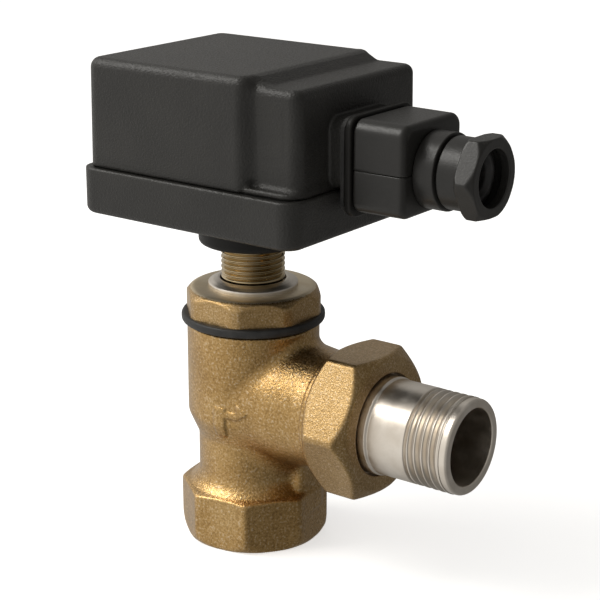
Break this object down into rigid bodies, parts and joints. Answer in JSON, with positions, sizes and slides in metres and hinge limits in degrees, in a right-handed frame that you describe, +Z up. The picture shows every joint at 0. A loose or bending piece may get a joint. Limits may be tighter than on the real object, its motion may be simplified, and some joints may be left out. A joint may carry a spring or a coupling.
{
  "type": "motorised valve actuator",
  "caption": "Geared electric actuator on a brass angle valve, with an octagonal female inlet below, a union tailpiece at the side and a plug connector with cable gland.",
  "frame": {"origin": "centre of the whole object's footprint, at the inlet face it stands on", "axes": "+Z up along the valve spindle, +X along the outlet tailpiece and the cable gland, -Y towards the front"},
  "size_m": [0.0896, 0.0488, 0.1095],
  "materials": {
    "cast_brass": "sand cast and blasted, satin",
    "machined_brass": "turned",
    "nickel": "nickel plated",
    "black_plastic": "fine moulded grain",
    "black_rubber": "satin",
    "steel": "bright",
    "white_gear": "moulded acetal",
    "circuit_green": "solder mask",
    "switch_red": "gloss",
    "motor_zinc": "zinc plated"
  },
  "bodies": {
    "valve": {"valve_body": "cast_brass", "bonnet": "machined_brass", "bonnet_gasket": "black_rubber", "threaded_neck": "nickel", "lock_ring": "nickel", "guide_bush": "machined_brass", "spindle_o_ring_lower": "black_rubber", "spindle_o_ring_upper": "black_rubber", "packing_nut": "machined_brass", "return_spring": "steel", "union_seal": "black_rubber", "tailpiece": "nickel", "collar_clip": "steel", "base_tray": "black_plastic", "cover": "black_plastic", "cover_gasket": "black_rubber", "cover_screw_1": "steel", "cover_screw_2": "steel", "cover_screw_3": "steel", "cover_screw_4": "steel", "lower_plate": "steel", "upper_plate": "steel", "pillar_1": "steel", "pillar_2": "steel", "pillar_3": "steel", "gear_axle_1": "steel", "gear_axle_2": "steel", "guide_pin": "steel", "thrust_washer": "machined_brass", "motor_can": "motor_zinc", "limit_switch_open": "black_plastic", "limit_switch_closed": "black_plastic", "circuit_board": "circuit_green", "motor_capacitor": "black_plastic", "connector_base": "black_plastic", "connector_gasket": "black_rubber", "blade_live": "nickel", "blade_neutral": "nickel", "blade_earth": "nickel"},
    "spindle": {"valve_spindle": "steel", "plug_holder": "machined_brass", "seat_disc": "black_rubber", "disc_nut": "machined_brass", "spring_collar": "machined_brass"},
    "collar": {"coupling_collar": "black_plastic"},
    "union": {"union_nut": "cast_brass"},
    "rotor": {"motor_rotor": "steel"},
    "gear_one": {"compound_gear_1": "white_gear"},
    "gear_two": {"compound_gear_2": "white_gear"},
    "drive_nut": {"output_gear": "white_gear"},
    "pusher": {"pusher_screw": "steel", "stroke_arm": "steel"},
    "open_button": {"switch_button_open": "switch_red"},
    "closed_button": {"switch_button_closed": "switch_red"},
    "plug": {"connector_shell_lower": "black_plastic", "connector_shell_upper": "black_plastic", "contact_carrier": "black_plastic", "gland_body": "black_plastic", "gland_seal": "black_rubber"},
    "gland": {"gland_nut": "black_plastic"}
  },
  "joints": [
    {"name": "drive_nut_turn", "type": "hinge", "parent": "valve", "child": "drive_nut", "pos_m": [-0.0159, 0, 0.0897], "axis": [0, 0, 1], "range_deg": [0, 540]},
    {"name": "gear_two_turn", "type": "hinge", "parent": "valve", "child": "gear_two", "pos_m": [-0.0224, 0.01126, 0.0874], "axis": [0, 0, 1], "range_deg": [-1800, 0]},
    {"name": "gear_one_turn", "type": "hinge", "parent": "valve", "child": "gear_one", "pos_m": [-0.03276, 0.00955, 0.0845], "axis": [0, 0, 1], "range_deg": [0, 4500]},
    {"name": "rotor_turn", "type": "hinge", "parent": "valve", "child": "rotor", "pos_m": [-0.0284, 0, 0.089], "axis": [0, 0, 1], "range_deg": [-11250, 0]},
    {"name": "pusher_slide", "type": "slide", "parent": "valve", "child": "pusher", "axis": [0, 0, -1], "range_m": [0, 0.003]},
    {"name": "spindle_slide", "type": "slide", "parent": "valve", "child": "spindle", "axis": [0, 0, -1], "range_m": [0, 0.003], "deforming": ["return_spring"]},
    {"name": "open_button_press", "type": "slide", "parent": "valve", "child": "open_button", "axis": [1, 0, 0], "range_m": [0, 0.0005], "stiffness_N_per_m": 200},
    {"name": "closed_button_press", "type": "slide", "parent": "valve", "child": "closed_button", "axis": [1, 0, 0], "range_m": [0, 0.0005], "stiffness_N_per_m": 200},
    {"name": "collar_turn", "type": "hinge", "parent": "valve", "child": "collar", "pos_m": [-0.0159, 0, 0.0719], "axis": [0, 0, 1], "continuous": true},
    {"name": "union_nut_turn", "type": "hinge", "parent": "valve", "child": "union", "pos_m": [0.01435, 0, 0.0335], "axis": [1, 0, 0], "continuous": true},
    {"name": "plug_slide", "type": "slide", "parent": "valve", "child": "plug", "axis": [1, 0, 0], "range_m": [0, 0.012]},
    {"name": "gland_nut_turn", "type": "hinge", "parent": "plug", "child": "gland", "pos_m": [0.04025, 0, 0.0912], "axis": [1, 0, 0], "continuous": true}
  ],
  "couplings": [
    {"joint": "gear_two_turn", "follows": "drive_nut_turn", "ratio": -3.3333},
    {"joint": "gear_one_turn", "follows": "drive_nut_turn", "ratio": 8.3333},
    {"joint": "rotor_turn", "follows": "drive_nut_turn", "ratio": -20.833},
    {"joint": "pusher_slide", "follows": "drive_nut_turn", "m_per_rad": 0.0003183},
    {"joint": "spindle_slide", "follows": "drive_nut_turn", "m_per_rad": 0.0003183}
  ]
}
